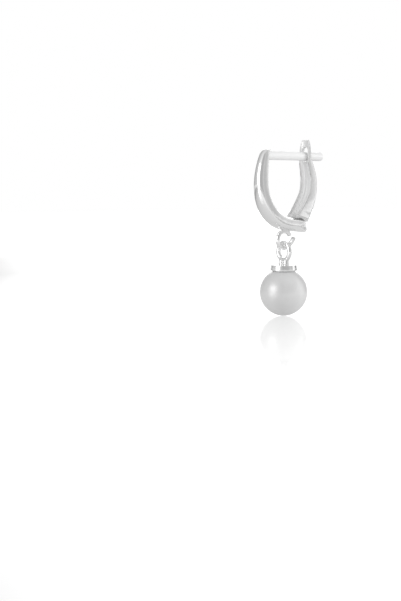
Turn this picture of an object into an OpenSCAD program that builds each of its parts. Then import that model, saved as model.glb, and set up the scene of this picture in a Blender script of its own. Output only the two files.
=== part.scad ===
// Pearl drop earring: a lever-back hoop with a round pearl hung from it by two rings.
// Millimetres. +Z is up, -Y is the front of the ear and +Y runs back along the post.
// The origin is the middle of the gap for the ear lobe, on the axis of the post.

/* [Post] */
// Diameter of the ear post
post_d = 1.25; // [1.1:0.05:1.3]
// How far the post reaches behind the middle of the lobe gap
post_reach = 6.65; // [6.2:0.05:7]
// Radius that rounds the free end of the post
post_end_r = 0.3; // [0.1:0.05:0.4]

/* [Hoop band] */
// Share of the band's thickness that is taken up by its domed front
dome_share = 0.42; // [0.3:0.02:0.5]
// Radius of the rounded edges against the lobe
band_edge_r = 0.3; // [0.1:0.05:0.35]

/* [Latch] */
// Thickness of the latch's side walls
latch_wall = 0.3; // [0.25:0.01:0.34]
// Height of the two lengthwise ribs inside the latch
rib_h = 0.2; // [0.1:0.05:0.3]
// Clearance between the post and the edge of its slot
slot_gap = 0.1; // [0.06:0.01:0.12]

/* [Hinge] */
// Outer radius of the hinge knuckles
knuckle_r = 0.6; // [0.55:0.01:0.62]
// Diameter of the hinge pin
pin_d = 0.5; // [0.4:0.02:0.6]
// Width of the latch's middle knuckle
tongue_w = 1.04; // [0.9:0.02:1.2]
// Running gap around the middle knuckle
hinge_gap = 0.08; // [0.05:0.01:0.1]
// Opening of the latch shown here, in degrees
latch_open = 0; // [0:1:60]

/* [Rings] */
// Diameter of the wire of both rings
wire_d = 0.68; // [0.6:0.02:0.72]
// Outer diameter of the ring soldered under the hoop
hoop_ring_d = 3.08; // [3:0.02:3.2]
// Outer diameter of the pearl's eye ring
eye_ring_d = 3.2; // [3.1:0.02:3.3]
// How far the hoop ring's loose end is sprung sideways
ring_spring = 0.55; // [0:0.05:0.6]
// Swing of the pearl shown here, in degrees
drop_swing = 0; // [-80:1:80]

/* [Cap] */
// Diameter of the cap on the pearl
cap_d = 3.9; // [3.6:0.1:4.1]
// Height of the cap's straight rim
cap_rim_h = 0.72; // [0.6:0.02:0.8]
// Rise of the cap's slightly domed top
cap_dome_h = 0.12; // [0.06:0.02:0.2]
// Diameter of the peg that holds the pearl
peg_d = 0.7; // [0.6:0.05:0.75]
// Length of the peg below the cap's rim
peg_l = 3; // [2:0.1:3.2]

/* [Pearl] */
// Diameter of the round pearl
pearl_d = 7; // [6.8:0.1:7.2]
// Diameter of the hole drilled for the peg
drill_d = 0.8; // [0.8:0.05:1]
// Fine gap kept between the pearl and the metal
seat_gap = 0.03; // [0.02:0.01:0.05]

/* [Hidden] */
$fn = 64;
eps = 0.01;
silver = "silver";

// Front band from its top to the hinge. Columns: inner y, inner z, front y, front z, width
BAND = [
    [-3.36,  0.86, -4.38,  0.74, 1.02],
    [-3.60,  0.50, -4.66,  0.46, 1.22],
    [-3.76,  0.00, -4.96, -0.05, 1.38],
    [-3.93, -1.30, -5.42, -1.36, 1.60],
    [-4.08, -2.80, -5.70, -2.84, 1.80],
    [-4.10, -4.20, -5.76, -4.45, 2.02],
    [-3.93, -5.60, -5.50, -6.10, 2.26],
    [-3.45, -6.80, -4.90, -7.60, 2.48],
    [-2.70, -7.75, -4.06, -8.82, 2.58],
    [-1.80, -8.45, -2.92, -9.86, 2.58],
    [-0.80, -8.95, -1.60, -10.55, 2.52],
    [ 0.30, -9.30, -0.05, -10.84, 2.44],
    [ 1.30, -9.52,  1.20, -10.90, 2.36],
    [ 2.36, -9.68,  2.36, -10.88, 2.30]
];
BAND_STEPS = 3;
DOME_POINTS = 10;

// Latch from its tip to the hinge.
// Columns: rim y, rim z, back y, back z, width, depth of the hollow
LATCH = [
    [3.45,  2.36, 3.79,  2.38, 1.38, 0.00],
    [3.37,  1.90, 3.84,  1.92, 1.66, 0.08],
    [3.28,  1.40, 3.88,  1.40, 1.86, 0.12],
    [3.24,  0.60, 3.92,  0.60, 1.98, 0.18],
    [3.22, -0.30, 4.04, -0.30, 2.02, 0.26],
    [3.26, -1.04, 4.22, -1.00, 2.04, 0.40],
    [3.45, -1.90, 4.50, -1.85, 2.08, 0.52],
    [3.62, -2.84, 4.78, -2.95, 2.12, 0.62],
    [3.66, -4.24, 4.90, -4.40, 2.20, 0.72],
    [3.47, -5.31, 4.78, -5.75, 2.26, 0.80],
    [2.93, -6.37, 4.44, -7.00, 2.32, 0.86],
    [2.26, -7.44, 3.95, -8.20, 2.38, 0.86],
    [1.75, -8.05, 3.64, -8.80, 2.40, 0.80],
    [1.58, -8.24, 3.52, -9.04, 2.40, 0.08],
    [1.24, -8.52, 3.42, -9.26, 2.40, 0.04],
    [1.22, -8.92, 3.28, -9.44, 2.38, 0.00]
];
LATCH_STEPS = 2;
latch_draft = 0.03;
latch_edge_r = 0.25;

post_r = post_d / 2;
wire_r = wire_d / 2;
pin_r = pin_d / 2;
pearl_r = pearl_d / 2;

// Hinge axis, parallel to X, at the back end of the band
hinge_y = 2.36;
hinge_z = -10.26;
ear_span = 2.30;
pin_run_gap = 0.03;
pin_fit_gap = 0.01;
tongue_r = knuckle_r - 0.04;
neck_front = 0.42;
neck_top = 1.3;
knuckle_relief = 1;

// The slot covers every place where the post passes through the turning latch
slot_r = post_r + slot_gap;
slot_wall_y = 3.28;
slot_from_y = 2.5;
slot_depth = 3;
slot_under = 0.16;
post_top_far = norm([post_reach - post_end_r - hinge_y, post_r - hinge_z]);
slot_top_z = hinge_z + sqrt(pow(post_top_far, 2) - pow(slot_wall_y - hinge_y, 2)) + slot_gap;

// Plumb line of the rings and the pearl
drop_y = -0.4;
hoop_ring_z = -12.18;
ring_start_at = 26;
ring_bend_at = 300;
ring_end_at = 380;
ring_lift = 0.16;
RING_STATIONS = 40;
RING_SIDES = 12;
ring_play = 0.04;
hoop_ring_r = (hoop_ring_d - wire_d) / 2;
eye_ring_r = (eye_ring_d - wire_d) / 2;
swing_z = hoop_ring_z - hoop_ring_r + wire_d + ring_play;
eye_z = swing_z - eye_ring_r;
foot_h = 0.40;
foot_w = 2.07;
foot_t = 0.62;
foot_lap = 0.34;
foot_sink = 0.05;
foot_top_z = eye_z - eye_ring_d / 2 + foot_lap;
cap_top_z = eye_z - eye_ring_d / 2 - foot_h;
cap_low_z = cap_top_z - cap_rim_h;
cap_lip = 0.2;
lip_slope = 1.4;
pearl_seat = 0.2;
drill_spare = 0.1;
pearl_z = cap_low_z + pearl_seat - pearl_r;

// A point on a smooth curve through rows b and c, with a and d as their neighbours
function between(a, b, c, d, t) =
    0.5 * (2 * b + (c - a) * t + (2 * a - 5 * b + 4 * c - d) * t * t
           + (3 * b - a - 3 * c + d) * t * t * t);

// Rows of a table with smooth rows put between them
function smooth_rows(rows, steps) = [
    for (i = [0 : len(rows) - 2])
        for (k = [0 : steps - 1])
            between(rows[max(i - 1, 0)], rows[i], rows[i + 1],
                    rows[min(i + 2, len(rows) - 1)], k / steps),
    rows[len(rows) - 1]
];

// A flat section [x, share of depth] stood between an inner and an outer point of the YZ plane
function stand(section, inner, outer) = [
    for (p = section) [p[0], inner[0] + (outer[0] - inner[0]) * p[1], inner[1] + (outer[1] - inner[1]) * p[1]]
];

function reversed(list) = [for (i = [len(list) - 1 : -1 : 0]) list[i]];

// A closed skin over a row of sections with equal numbers of points.
// Each end is closed by a fan of faces round one of its points
module skin(sections, fan_at) {
    n = len(sections[0]);
    last = len(sections) - 1;
    points = [for (s = sections) for (p = s) p];
    sides = [
        for (i = [0 : last - 1])
            for (j = [0 : n - 1])
                let (k = (j + 1) % n)
                each [
                    [i * n + j, (i + 1) * n + j, (i + 1) * n + k],
                    [i * n + j, (i + 1) * n + k, i * n + k]
                ]
    ];
    fan = [for (j = [0 : n - 1]) if (j != fan_at && (j + 1) % n != fan_at) [fan_at, j, (j + 1) % n]];
    far_fan = [for (f = fan) [for (j = reversed(f)) last * n + j]];
    polyhedron(points = points, faces = concat(sides, fan, far_fan), convexity = 8);
}

// Rounded inner edges, straight side walls and a domed front
function band_section(w, t) =
    let (h = w / 2, r = band_edge_r, dome = t * dome_share)
    concat(
        [for (a = [180 : 45 : 270]) [-h + r + r * cos(a), (r + r * sin(a)) / t]],
        [for (a = [270 : 45 : 360]) [h - r + r * cos(a), (r + r * sin(a)) / t]],
        [for (i = [0 : DOME_POINTS])
            let (a = 180 * i / DOME_POINTS)
            [h * cos(a), (t - dome + dome * sin(a)) / t]]
    );

// Channel that is open towards the lobe, with two ribs along its floor
function latch_section(w, t, hollow) =
    let (
        h = w / 2,
        r = latch_edge_r,
        in_h = h - latch_wall,
        depth = max(hollow, 0),
        floor_d = depth / t,
        rib_d = (depth - min(rib_h, depth * 0.4)) / t,
        rib_x = in_h * 0.36,
        rib_half = in_h * 0.14
    )
    [
        [-h, 0], [-in_h - latch_draft, 0], [-in_h, floor_d],
        [-rib_x - rib_half, floor_d], [-rib_x - rib_half * 0.6, rib_d],
        [-rib_x + rib_half * 0.6, rib_d], [-rib_x + rib_half, floor_d],
        [rib_x - rib_half, floor_d], [rib_x - rib_half * 0.6, rib_d],
        [rib_x + rib_half * 0.6, rib_d], [rib_x + rib_half, floor_d],
        [in_h, floor_d], [in_h + latch_draft, 0], [h, 0],
        each [for (a = [0 : 30 : 90]) [h - r + r * cos(a), 1 - (r - r * sin(a)) / t]],
        each [for (a = [90 : 30 : 180]) [-h + r + r * cos(a), 1 - (r - r * sin(a)) / t]]
    ];

// Round bar along X, from one side to the other of the middle
module bar_x(r, l) {
    rotate([0, 90, 0])
        cylinder(r = r, h = l, center = true);
}

// Arc of round wire in the XY plane, from the +X axis on
module wire_arc(ring_r, angle) {
    rotate_extrude(angle = angle)
        translate([ring_r, 0])
            circle(r = wire_r, $fn = 32);
}

module band() {
    skin([
        for (row = smooth_rows(BAND, BAND_STEPS))
            let (inner = [row[0], row[1]], outer = [row[2], row[3]])
            stand(band_section(row[4], norm(outer - inner)), inner, outer)
    ], fan_at = 6 + DOME_POINTS / 2);
}

// Straight post with a rounded free end, rooted in the band
module post() {
    root_y = -4.3;
    l = post_reach - root_y;
    translate([0, root_y, 0])
        rotate([-90, 0, 0])
            rotate_extrude() {
                square([post_r, l - post_end_r]);
                square([post_r - post_end_r, l]);
                translate([post_r - post_end_r, l - post_end_r])
                    intersection() {
                        circle(r = post_end_r);
                        square(post_end_r * 2);
                    }
            }
}

// Centre of the hoop ring's wire at an angle that runs from the back over the top
function ring_point(angle) =
    let (
        bend = max(angle - ring_bend_at, 0) / (ring_end_at - ring_bend_at),
        r = hoop_ring_r + ring_lift * bend * bend
    )
    [ring_spring * bend * bend, drop_y + r * cos(angle), hoop_ring_z + r * sin(angle)];

// Ring in the plane of the hoop. Its cut faces backward, with the lower end sprung to +X
module hoop_ring() {
    skin([
        for (i = [0 : RING_STATIONS])
            let (
                angle = ring_start_at + (ring_end_at - ring_start_at) * i / RING_STATIONS,
                at = ring_point(angle),
                ahead = ring_point(angle + 0.5) - ring_point(angle - 0.5),
                out = cross(ahead, [1, 0, 0]) / norm(cross(ahead, [1, 0, 0])),
                side = cross(ahead, out) / norm(cross(ahead, out))
            )
            [for (k = [0 : RING_SIDES - 1])
                at + wire_r * (cos(360 * k / RING_SIDES) * out + sin(360 * k / RING_SIDES) * side)]
    ], fan_at = 0);
}

// Room for the latch's middle knuckle and for the neck that turns with it
module tongue_room() {
    w = tongue_w + 2 * hinge_gap;
    bar_x(knuckle_r + hinge_gap, w);
    translate([-w / 2, 0, -knuckle_relief])
        cube([w, knuckle_relief, 2 * knuckle_relief]);
    translate([-w / 2, -neck_front - hinge_gap, 0])
        cube([w, knuckle_relief, knuckle_relief]);
}

module hoop() {
    color(silver)
        difference() {
            union() {
                band();
                post();
                hoop_ring();
                translate([0, hinge_y, hinge_z])
                    bar_x(knuckle_r, ear_span);
            }
            translate([0, hinge_y, hinge_z]) {
                tongue_room();
                bar_x(pin_r + pin_fit_gap, ear_span + 1);
            }
        }
}

module latch_body() {
    skin([
        for (row = smooth_rows(LATCH, LATCH_STEPS))
            let (rim = [row[0], row[1]], back = [row[2], row[3]])
            stand(reversed(latch_section(row[4], norm(back - rim), row[5])), rim, back)
    ], fan_at = 3);
}

// Upright slot with round ends, cut through the latch from front to back
module post_slot() {
    low_z = slot_r - post_r - slot_under;
    high_z = slot_top_z - slot_r;
    for (z = [low_z, high_z])
        translate([0, slot_from_y, z])
            rotate([-90, 0, 0])
                cylinder(r = slot_r, h = slot_depth);
    translate([-slot_r, slot_from_y, low_z])
        cube([2 * slot_r, slot_depth, high_z - low_z]);
}

// Middle knuckle and the neck that carries it under the channel
module latch_tongue() {
    translate([0, hinge_y, hinge_z])
        bar_x(tongue_r, tongue_w);
    translate([-tongue_w / 2, hinge_y - neck_front, hinge_z])
        cube([tongue_w, neck_front + tongue_r, neck_top]);
}

module latch() {
    color(silver)
        translate([0, hinge_y, hinge_z])
            rotate([-latch_open, 0, 0])
                translate([0, -hinge_y, -hinge_z])
                    difference() {
                        union() {
                            latch_body();
                            latch_tongue();
                        }
                        post_slot();
                        translate([0, hinge_y, hinge_z])
                            bar_x(pin_r + pin_run_gap, tongue_w + 1);
                    }
}

module hinge_pin() {
    color(silver)
        translate([0, hinge_y, hinge_z])
            bar_x(pin_r, ear_span);
}

// Everything below turns about the top of the eye ring
module swung() {
    translate([0, drop_y, swing_z])
        rotate([drop_swing, 0, 0])
            translate([0, 0, -swing_z])
                children();
}

// Ring across the hoop ring. Its cut is at the upper +X side
module eye_ring() {
    cut_from = 62;
    cut_to = 76;
    translate([0, 0, eye_z])
        rotate([90, 0, 0])
            rotate([0, 0, cut_to])
                wire_arc(eye_ring_r, 360 - (cut_to - cut_from));
}

// Solder foot between the eye ring and the cap
module foot() {
    low_z = cap_top_z - foot_sink;
    end_r = foot_t / 2;
    translate([0, 0, low_z])
        linear_extrude(foot_top_z - low_z) {
            square([foot_w - foot_t, foot_t], center = true);
            for (side = [-1, 1])
                translate([side * (foot_w / 2 - end_r), 0])
                    circle(r = end_r);
        }
}

// Shallow cup with a domed top, a straight rim and a lip that follows the pearl
module cap() {
    r = cap_d / 2;
    dome_r = (r * r + cap_dome_h * cap_dome_h) / (2 * cap_dome_h);
    rotate_extrude()
        difference() {
            union() {
                intersection() {
                    translate([0, cap_top_z + cap_dome_h - dome_r])
                        circle(r = dome_r, $fn = 256);
                    translate([0, cap_top_z - eps])
                        square([r, 2 * cap_dome_h]);
                }
                polygon([
                    [0, cap_top_z], [r, cap_top_z], [r, cap_low_z],
                    [r - lip_slope * cap_lip, cap_low_z - cap_lip], [0, cap_low_z - cap_lip]
                ]);
            }
            translate([0, pearl_z])
                circle(r = pearl_r + seat_gap, $fn = 128);
        }
}

module pearl_cap() {
    color(silver)
        swung() {
            eye_ring();
            foot();
            cap();
            translate([0, 0, cap_low_z - peg_l])
                cylinder(d = peg_d, h = peg_l + cap_rim_h / 2);
        }
}

module pearl() {
    color("ivory")
        swung()
            difference() {
                translate([0, 0, pearl_z])
                    sphere(r = pearl_r, $fn = 96);
                translate([0, 0, cap_low_z - peg_l - drill_spare])
                    cylinder(d = drill_d, h = peg_l + drill_spare + 2 * pearl_seat);
            }
}

hoop();
latch();
hinge_pin();
pearl_cap();
pearl();
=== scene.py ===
# %% [markdown]
# # A pearl drop earring with a lever-back
#
# The earring is a silver hoop that tapers towards its top, an ear post, a hinged latch that closes over the
# post behind the lobe, and a round pearl that hangs from two small rings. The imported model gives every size
# and place. This script gives each piece its true curves and its finish.
#
# Two ways of making the pieces would work here: carving them from blocks, or drawing a section and moving
# it. A goldsmith rolls, draws and turns metal, so most pieces below are a section that is extruded or spun.

import math

import bmesh
import bpy
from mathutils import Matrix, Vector


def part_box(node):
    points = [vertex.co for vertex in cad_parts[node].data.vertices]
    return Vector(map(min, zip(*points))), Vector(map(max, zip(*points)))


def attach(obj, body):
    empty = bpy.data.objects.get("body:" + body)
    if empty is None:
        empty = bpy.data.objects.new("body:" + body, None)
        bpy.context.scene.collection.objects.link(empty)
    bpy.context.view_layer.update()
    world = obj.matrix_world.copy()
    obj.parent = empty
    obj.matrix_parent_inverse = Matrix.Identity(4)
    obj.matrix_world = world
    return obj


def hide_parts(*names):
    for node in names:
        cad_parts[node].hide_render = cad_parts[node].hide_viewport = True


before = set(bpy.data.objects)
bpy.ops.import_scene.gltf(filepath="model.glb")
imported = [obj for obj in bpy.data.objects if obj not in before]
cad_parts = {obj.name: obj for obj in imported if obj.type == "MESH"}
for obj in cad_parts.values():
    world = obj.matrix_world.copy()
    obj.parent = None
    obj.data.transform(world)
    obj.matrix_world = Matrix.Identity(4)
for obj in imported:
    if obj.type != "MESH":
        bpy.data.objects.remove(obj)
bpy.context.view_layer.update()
MM = 0.001
X, Y, Z = Vector((1, 0, 0)), Vector((0, 1, 0)), Vector((0, 0, 1))

# %% [markdown]
# ## The camera
#
# The photograph is taken from 50 degrees round to the side, about 140 mm away and a little below the ear
# post. Its frame is 401 by 601 pixels, and the earring hangs right of the middle, so the camera looks past
# it at a point to the left. No lens shift is needed.

# %% Camera at the photograph's angle
CAMERA_AZIMUTH = math.radians(50)
CAMERA_DISTANCE = 140 * MM
CAMERA_HEIGHT = -5 * MM
AIM_SIDE = -12.67 * MM
AIM_HEIGHT = -21.36 * MM
FOCAL_PIXELS = 945.7
LONG_SIDE_PIXELS = 601

towards_camera = X * math.sin(CAMERA_AZIMUTH) - Y * math.cos(CAMERA_AZIMUTH)
camera_right = X * math.cos(CAMERA_AZIMUTH) + Y * math.sin(CAMERA_AZIMUTH)
camera_place = towards_camera * CAMERA_DISTANCE + Z * CAMERA_HEIGHT
look = camera_right * AIM_SIDE + Z * AIM_HEIGHT - camera_place

bpy.ops.object.camera_add(location=camera_place, rotation=look.to_track_quat("-Z", "Y").to_euler())
camera = bpy.context.active_object
camera.name = "photo_camera"
camera.data.lens = FOCAL_PIXELS / LONG_SIDE_PIXELS * camera.data.sensor_width
camera.data.clip_start = 5 * MM
camera.data.clip_end = 5
bpy.context.scene.camera = camera
tilt = math.degrees(math.asin(look.normalized().z))
print(f"lens {camera.data.lens:.1f} mm, looking {tilt:.1f} degrees up")

# %% [markdown]
# ## Tools for choosing
#
# An operator acts on whatever is selected, so each tool starts by choosing its piece. In edit mode the
# faces, edges or points to work on are chosen by a test on their place, as one would click on them.


# %% Choose a piece and parts of it
def take(piece):
    bpy.ops.object.select_all(action="DESELECT")
    piece.select_set(True)
    bpy.context.view_layer.objects.active = piece


def work_on(piece, kind="FACE"):
    """Open a piece in edit mode, with points, edges or faces to choose and none chosen yet."""
    take(piece)
    bpy.ops.object.mode_set(mode="EDIT")
    bpy.ops.mesh.select_mode(type=kind)
    bpy.ops.mesh.select_all(action="DESELECT")


def choose(piece, test):
    """Choose the points, edges or faces that pass a test, and count them."""
    bpy.ops.mesh.select_all(action="DESELECT")
    mesh = bmesh.from_edit_mesh(piece.data)
    kind = bpy.context.tool_settings.mesh_select_mode[:]
    parts = (mesh.verts, mesh.edges, mesh.faces)[kind.index(True)]
    chosen = [part for part in parts if test(part)]
    for part in chosen:
        part.select_set(True)
    bmesh.update_edit_mesh(piece.data)
    return len(chosen)


def put_down(piece, merge=0.5e-3 * MM):
    """Close doubled points, turn every face outwards and leave edit mode."""
    bpy.ops.mesh.select_all(action="SELECT")
    bpy.ops.mesh.remove_doubles(threshold=merge)
    bpy.ops.mesh.normals_make_consistent(inside=False)
    bpy.ops.object.mode_set(mode="OBJECT")


def report(piece):
    """Print a piece's faces, its open edges, which should be none, and its size."""
    mesh = bmesh.new()
    mesh.from_mesh(piece.data)
    open_edges = sum(not edge.is_manifold for edge in mesh.edges)
    mesh.free()
    size = [round(length / MM, 2) for length in piece.dimensions]
    print(f"{piece.name}: {len(piece.data.polygons)} faces, {open_edges} open edges, {size} mm")


print("tools for choosing: take, work_on, choose, put_down, report")

# %% [markdown]
# ## Tools for joining and cutting
#
# Solder joins two pieces into one, and a saw or drill takes a shape away. In Blender both are a Boolean
# modifier. The exact solver is slower than the fast one but copes with faces that nearly touch, which is
# what soldered parts have.


# %% Solder, saw and buff
def apply_modifier(piece, kind, **settings):
    take(piece)
    modifier = piece.modifiers.new(kind.lower(), kind)
    for key, value in settings.items():
        setattr(modifier, key, value)
    bpy.ops.object.modifier_apply(modifier=modifier.name)


def solder(piece, *others):
    for other in others:
        apply_modifier(piece, "BOOLEAN", operation="UNION", solver="EXACT", object=other)
        bpy.data.objects.remove(other)


def saw_out(piece, *shapes):
    for shape in shapes:
        apply_modifier(piece, "BOOLEAN", operation="DIFFERENCE", solver="EXACT", object=shape)
        bpy.data.objects.remove(shape)


def buff(piece, angle=35):
    """Shade a piece smoothly, but keep the edges that are sharper than an angle."""
    take(piece)
    bpy.ops.object.shade_smooth_by_angle(angle=math.radians(angle))


def file_edges(piece, width, angle=40, segments=2):
    """Take the sharpness off every edge that turns by more than an angle."""
    apply_modifier(
        piece, "BEVEL", width=width, segments=segments, limit_method="ANGLE", angle_limit=math.radians(angle),
        use_clamp_overlap=True,
    )


print("tools for joining: solder, saw_out, buff, file_edges")

# %% [markdown]
# ## Forging
#
# The band and the latch are bars whose section changes all along. A curve with a bevel would keep one
# section, so `forge_bar` extrudes a rectangle along a row of stations, each with its own depth, width and
# tilt, as a hammer draws out a bar. The stations are a short table, and smooth rows are put between its own.


# %% Forge a bar through stations
def between(a, b, c, d, t):
    """A point on a smooth curve from b to c, with a and d as their neighbours."""
    slope = (c - a) * t
    bend = (2 * a - 5 * b + 4 * c - d) * t ** 2
    turn = (3 * b - a - 3 * c + d) * t ** 3
    return 0.5 * (2 * b + slope + bend + turn)


def smooth_rows(rows, steps):
    """The rows of a table with smooth rows put between them."""
    last = len(rows) - 1
    made = []
    for i in range(last):
        near = [rows[max(i - 1, 0)], rows[i], rows[i + 1], rows[min(i + 2, last)]]
        for k in range(steps):
            made.append([between(*values, k / steps) for values in zip(*near)])
    return made + [list(rows[last])]


def station(row):
    """Middle, depth, width and tilt of the section between a row's inner and outer points, in metres."""
    inner_y, inner_z, outer_y, outer_z, width = row[:5]
    side = row[5] if len(row) > 5 else 0
    inner = Vector((side, inner_y, inner_z)) * MM
    outer = Vector((side, outer_y, outer_z)) * MM
    across = outer - inner
    return (inner + outer) / 2, across.length, width * MM, math.atan2(across.z, across.y)


def forge_bar(name, rows):
    """Rows in millimetres: inner y, inner z, outer y, outer z, width and, if it isn't in the middle, x."""
    bpy.ops.object.select_all(action="DESELECT")
    middle, depth, width, tilt = station(rows[0])
    bpy.ops.mesh.primitive_plane_add(size=1, location=middle, rotation=(tilt, 0, 0))
    piece = bpy.context.active_object
    piece.name = name
    piece.scale = (width, depth, 1)
    bpy.ops.object.transform_apply(location=True, rotation=True, scale=True)
    bpy.ops.object.mode_set(mode="EDIT")
    bpy.ops.mesh.select_all(action="SELECT")
    for row in rows[1:]:
        new_middle, new_depth, new_width, new_tilt = station(row)
        turn = (new_tilt - tilt + math.pi) % (2 * math.pi) - math.pi
        deeper = new_depth / depth
        bpy.ops.mesh.extrude_region_move(TRANSFORM_OT_translate={"value": new_middle - middle})
        bpy.ops.transform.rotate(value=-turn, orient_axis="X", center_override=new_middle)
        bpy.ops.transform.resize(value=(new_width / width, deeper, deeper), center_override=new_middle)
        middle, depth, width, tilt = new_middle, new_depth, new_width, new_tilt
    put_down(piece)
    return piece


def along_corner(rows, first, second):
    """A test for the edges that run along one corner line of a forged bar, on both of its sides."""
    line = [Vector((0, row[first], row[second])) * MM for row in rows]

    def on_line(end):
        return min((Vector((0, end.y, end.z)) - place).length for place in line) < 5e-3 * MM

    def test(edge):
        ends = [vert.co for vert in edge.verts]
        return all(on_line(end) for end in ends) and abs(ends[0].x - ends[1].x) < 0.5 * abs(ends[0].x)

    return test


print("half way along a smooth curve through 0, 1, 2 and 4:", between(0, 1, 2, 4, 0.5))

# %% [markdown]
# ## Turning
#
# Post, pin, cap and pearl are round about an axis. A menu cylinder would need every edge and groove cut
# afterwards, so `turn_part` draws half the outline point by point and spins it, as a lathe turns a part.


# %% Turn a part on a lathe
def draw_line(name, places):
    """A line of points joined by edges, drawn from a single point, left in edit mode and all chosen."""
    bpy.ops.object.select_all(action="DESELECT")
    bpy.ops.mesh.primitive_plane_add(size=MM, location=places[0])
    piece = bpy.context.active_object
    piece.name = name
    bpy.ops.object.transform_apply(location=True, rotation=True, scale=True)
    bpy.ops.object.mode_set(mode="EDIT")
    bpy.ops.mesh.select_mode(type="VERT")
    bpy.ops.mesh.select_all(action="SELECT")
    bpy.ops.mesh.merge(type="CENTER")
    for last, new in zip(places, places[1:]):
        bpy.ops.mesh.extrude_region_move(TRANSFORM_OT_translate={"value": new - last})
    bpy.ops.mesh.select_all(action="SELECT")
    return piece


def arc(middle_r, middle_h, radius, start, end, steps):
    """Outline points on an arc, in degrees from the radius axis towards the height axis."""
    angles = [math.radians(start + (end - start) * i / steps) for i in range(steps + 1)]
    return [(middle_r + radius * math.cos(a), middle_h + radius * math.sin(a)) for a in angles]


def turn_part(name, outline, axis, at=(0, 0, 0), steps=96):
    """Spin an outline of (radius, height) points round an axis. Sizes and place are in millimetres."""
    side = X if axis == Z else Z
    foot = Vector(at) * MM
    places = [foot + (side * radius + axis * height) * MM for radius, height in outline]
    piece = draw_line(name, places)
    bpy.ops.mesh.spin(steps=steps, angle=2 * math.pi, center=foot, axis=axis)
    put_down(piece)
    return piece


print("points on a quarter of a circle in two steps:", len(arc(0, 0, 1, 0, 90, 2)))

# %% [markdown]
# ## Bending
#
# The two rings are round wire. A menu torus is closed, and these rings are cut, so `bend_wire` spins a round
# section through the angle that the wire goes round, as wire is bent round a mandrel.


# %% Bend a wire
def bend_wire(name, at, ring_radius, wire_radius, axis, start, angle, steps=96):
    """Bend round wire about an axis, from the side where start points, through an angle in radians.

    With no window the spin turns the other way, so it is given the opposite axis.
    """
    middle = Vector(at) * MM
    bpy.ops.object.select_all(action="DESELECT")
    bpy.ops.mesh.primitive_circle_add(
        vertices=28, radius=wire_radius * MM, fill_type="NGON", location=middle + start * ring_radius * MM,
        rotation=axis.cross(start).to_track_quat("Z", "Y").to_euler(),
    )
    piece = bpy.context.active_object
    piece.name = name
    bpy.ops.object.transform_apply(location=True, rotation=True, scale=True)
    bpy.ops.object.mode_set(mode="EDIT")
    bpy.ops.mesh.select_all(action="SELECT")
    bpy.ops.mesh.spin(steps=steps, angle=angle, center=middle, axis=-axis)
    put_down(piece)
    return piece


print("tool for bending: bend_wire")

# %% [markdown]
# ## Nodes and colours
#
# Every material below is a small tree of nodes. One function adds a node, sets it up and links it, and one
# function turns a colour as it is picked on a screen into the linear light that Blender works with.


# %% Add a node and read a colour
def add_node(tree, kind, inputs=None, stops=None, **settings):
    """Add a node with its settings. An input is a value or another node's output. Stops are for a ramp."""
    made = tree.nodes.new(kind)
    for key, value in settings.items():
        setattr(made, key, value)
    for key, value in (inputs or {}).items():
        if isinstance(value, bpy.types.NodeSocket):
            tree.links.new(value, made.inputs[key])
        else:
            made.inputs[key].default_value = value
    for i, (place, tone) in enumerate(stops or []):
        elements = made.color_ramp.elements
        element = elements[i] if i < len(elements) else elements.new(place)
        element.position = place
        element.color = (tone, tone, tone, 1)
    return made


def linear(code):
    """A colour such as D8D8D8 as linear red, green and blue, with an alpha of 1."""
    screen = [int(code[i:i + 2], 16) / 255 for i in (0, 2, 4)]
    return [c / 12.92 if c < 0.04045 else ((c + 0.055) / 1.055) ** 2.4 for c in screen] + [1]


def new_material(name):
    """A material with an empty tree, and its output node."""
    material = bpy.data.materials.new(name)
    material.use_nodes = True
    material.node_tree.nodes.clear()
    return material, material.node_tree, add_node(material.node_tree, "ShaderNodeOutputMaterial")


print("a middle grey on the screen is", round(linear("808080")[0], 3), "in linear light")

# %% [markdown]
# ## The light tent
#
# Polished silver has no look of its own: it shows what stands round it. The photograph's bright and dark
# bands on the hoop tell where the white walls and the gaps of the light tent were. The world below paints
# that tent by direction round the earring, from the camera's own direction. White planes would do as walls
# too, but one ramp is easier to match to the bands. For the camera itself the world is plain white, as the
# paper behind the earring is.

# %% Paint the tent by direction
# Degrees to the right of the camera, brightness
TENT = [
    (-180, 1.60),
    (-165, 1.60),
    (-158, 0.50),
    (-122, 0.44),
    (-104, 0.62),
    (-80, 0.66),
    (-76, 0.85),
    (-32, 0.85),
    (-26, 0.60),
    (-6, 0.46),
    (45, 0.50),
    (55, 0.62),
    (70, 0.62),
    (76, 0.54),
    (82, 0.56),
    (87, 0.78),
    (94, 1.10),
    (112, 1.10),
    (118, 0.34),
    (158, 0.34),
    (165, 1.60),
    (180, 1.60),
]
TENT_TOP = 2.0
ROOF = 0.72

world = bpy.data.worlds.new("light_tent")
bpy.context.scene.world = world
world.use_nodes = True
sky = world.node_tree
sky.nodes.clear()
way = add_node(sky, "ShaderNodeTexCoord").outputs["Generated"]
turned = add_node(
    sky, "ShaderNodeVectorRotate", {"Vector": way, "Angle": math.pi / 2 - CAMERA_AZIMUTH},
    rotation_type="Z_AXIS",
)
parts = add_node(sky, "ShaderNodeSeparateXYZ", {0: turned.outputs[0]}).outputs
round_angle = add_node(sky, "ShaderNodeMath", {0: parts["Y"], 1: parts["X"]}, operation="ARCTAN2")
share = add_node(
    sky, "ShaderNodeMath", {0: round_angle.outputs[0], 1: 0.5 / math.pi, 2: 0.5}, operation="MULTIPLY_ADD",
)
tent = add_node(
    sky, "ShaderNodeValToRGB", {"Fac": share.outputs[0]},
    stops=[(0.5 + degrees / 360, tone / TENT_TOP) for degrees, tone in TENT],
)
is_camera = add_node(sky, "ShaderNodeLightPath").outputs["Is Camera Ray"]
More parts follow.
